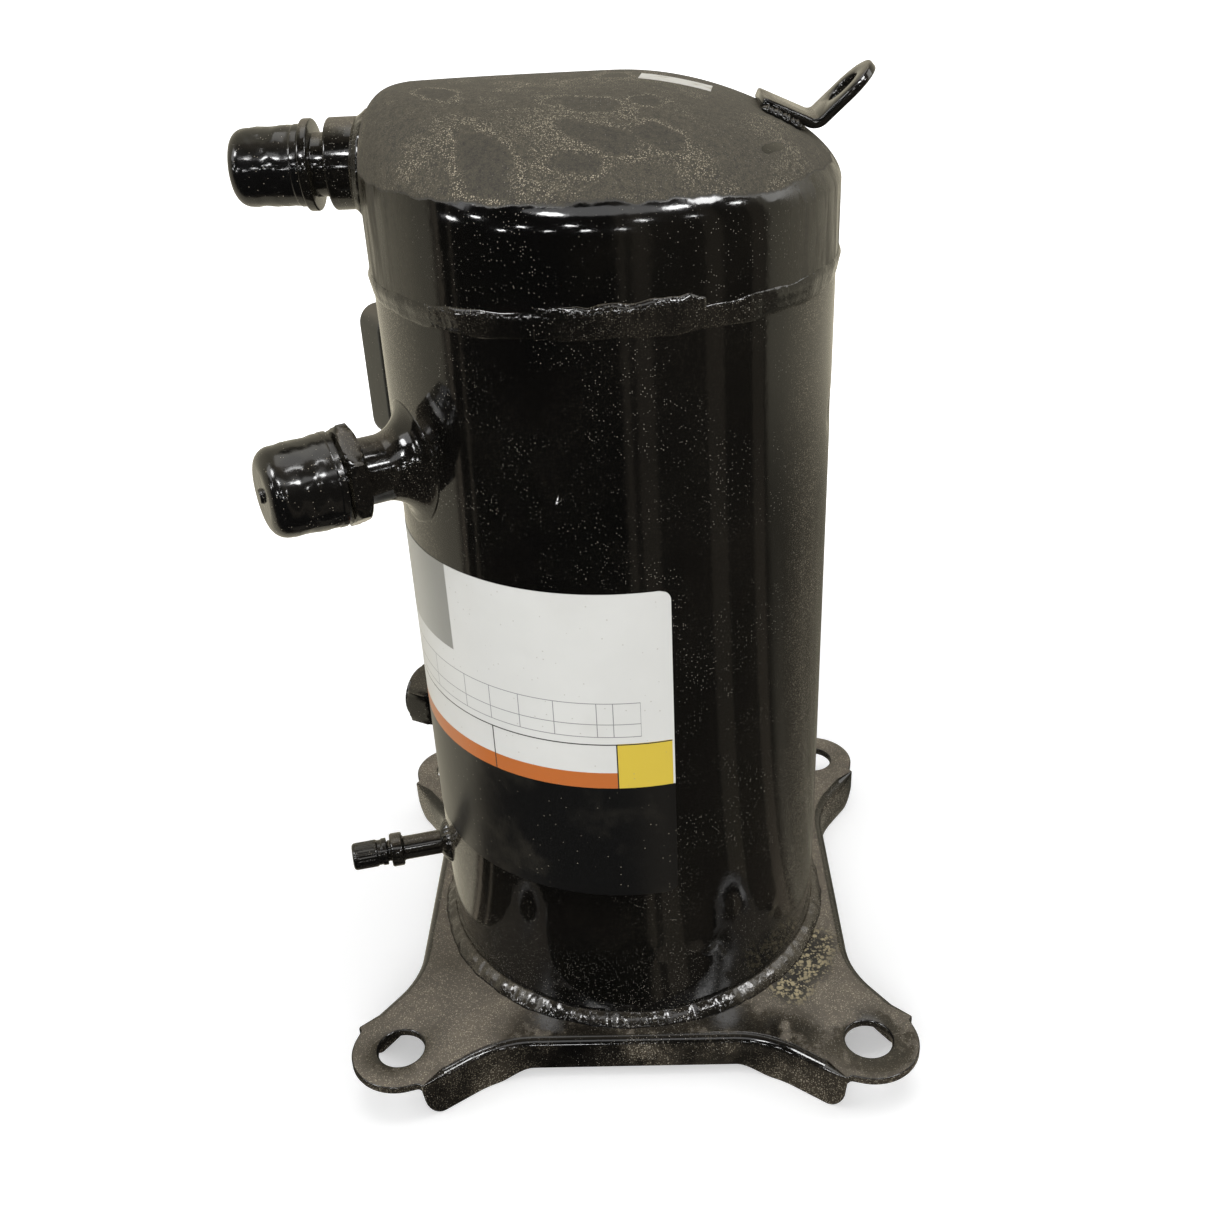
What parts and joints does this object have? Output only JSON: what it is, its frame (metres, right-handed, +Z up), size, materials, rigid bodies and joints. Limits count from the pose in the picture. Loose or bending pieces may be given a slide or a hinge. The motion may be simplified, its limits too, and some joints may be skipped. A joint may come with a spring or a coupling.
{
  "type": "scroll compressor",
  "caption": "Hermetic scroll compressor: black welded shell on an eared base plate, capped suction and discharge spigots, oil port and terminal box, with scroll set, crank and motor inside.",
  "frame": {"origin": "under the middle of the base plate, on the plane of the flange edges it stands on", "axes": "+Z up along the shell, -X towards the discharge spigot, -Y towards the viewer of the picture"},
  "size_m": [0.2427, 0.238, 0.3774],
  "materials": {
    "black_paint": "gloss",
    "black_plastic": "gloss",
    "box_plastic": "matt",
    "black_rubber": "matt",
    "sight_glass": "clear",
    "brass": "satin",
    "sheet_steel": "satin",
    "machined_steel": "machined",
    "grey_iron": "machined",
    "bearing_bronze": "machined",
    "light_alloy": "cast",
    "seal_polymer": "matt",
    "core_steel": "laminated",
    "copper_winding": "varnished"
  },
  "bodies": {
    "casing": {"base_plate": "black_paint", "base_weld": "black_paint", "bottom_cap": "black_paint", "center_shell": "black_paint", "seam_weld": "black_paint", "top_cap": "black_paint", "muffler_plate": "sheet_steel", "relief_valve": "brass", "lifting_lug": "black_paint", "suction_spigot": "black_paint", "suction_baffle": "sheet_steel", "discharge_spigot": "black_paint", "check_valve_seat": "sheet_steel", "check_valve_stop": "sheet_steel", "service_port": "black_paint", "valve_core": "brass", "sight_glass_boss": "black_paint", "sight_glass_body": "black_paint", "sight_glass_lens": "sight_glass", "sight_glass_gasket": "black_rubber", "terminal_box": "box_plastic", "terminal_cup": "sheet_steel", "terminal_pins": "sheet_steel", "terminal_glass": "sight_glass", "terminal_plug": "black_plastic", "cable_grommet": "black_rubber", "ground_screw": "machined_steel", "main_bearing_housing": "grey_iron", "main_bearing_bush": "bearing_bronze", "scroll_bolts": "machined_steel", "bolt_sleeves": "machined_steel", "stator_core": "core_steel", "upper_winding": "copper_winding", "lower_winding": "copper_winding", "motor_protector": "machined_steel", "lower_bearing_bracket": "grey_iron", "lower_bearing_bush": "bearing_bronze", "thrust_disc": "sheet_steel", "sump_magnet": "machined_steel"},
    "crank": {"crankshaft": "machined_steel", "upper_counterweight": "grey_iron", "lower_counterweight": "grey_iron", "drive_bushing": "machined_steel", "rotor_core": "core_steel", "rotor_end_rings": "light_alloy", "oil_pickup": "sheet_steel"},
    "orbiter": {"orbiting_scroll": "grey_iron", "hub_bearing": "bearing_bronze", "oldham_ring": "light_alloy"},
    "upper_scroll": {"fixed_scroll": "grey_iron"},
    "floating_seal": {"floating_seal_lower": "sheet_steel", "floating_seal_upper": "sheet_steel", "seal_rings": "seal_polymer"},
    "check_disc": {"check_valve_disc": "sheet_steel"},
    "core_pin": {"valve_core_pin": "brass"},
    "suction_cap": {"suction_cap": "black_plastic"},
    "discharge_cap": {"discharge_cap": "black_plastic"},
    "service_cap": {"service_cap": "black_plastic"},
    "terminal_cover": {"terminal_cover": "box_plastic"}
  },
  "joints": [
    {"name": "crank_spin", "type": "hinge", "parent": "casing", "child": "crank", "pos_m": [0, 0, 0.15], "axis": [0, 0, 1], "continuous": true},
    {"name": "scroll_orbit", "type": "hinge", "parent": "crank", "child": "orbiter", "pos_m": [0.0035, 0, 0.27], "axis": [0, 0, 1], "continuous": true},
    {"name": "scroll_float", "type": "slide", "parent": "casing", "child": "upper_scroll", "axis": [0, 0, 1], "range_m": [0, 0.0006]},
    {"name": "seal_lift", "type": "slide", "parent": "casing", "child": "floating_seal", "axis": [0, 0, 1], "range_m": [0, 0.0008]},
    {"name": "check_open", "type": "slide", "parent": "casing", "child": "check_disc", "axis": [-1, 0, 0], "range_m": [0, 0.002]},
    {"name": "core_press", "type": "slide", "parent": "casing", "child": "core_pin", "axis": [0.9703, 0.2419, 0], "range_m": [0, 0.001], "stiffness_N_per_m": 500},
    {"name": "suction_cap_off", "type": "slide", "parent": "casing", "child": "suction_cap", "axis": [-0.8746, -0.4848, 0], "range_m": [0, 0.04]},
    {"name": "discharge_cap_off", "type": "slide", "parent": "casing", "child": "discharge_cap", "axis": [-1, 0, 0], "range_m": [0, 0.035]},
    {"name": "service_cap_off", "type": "slide", "parent": "casing", "child": "service_cap", "axis": [-0.9703, -0.2419, 0], "range_m": [0, 0.02]},
    {"name": "cover_off", "type": "slide", "parent": "casing", "child": "terminal_cover", "axis": [-0.5878, 0.809, 0], "range_m": [0, 0.04]}
  ],
  "couplings": [
    {"joint": "scroll_orbit", "follows": "crank_spin", "ratio": -1}
  ]
}
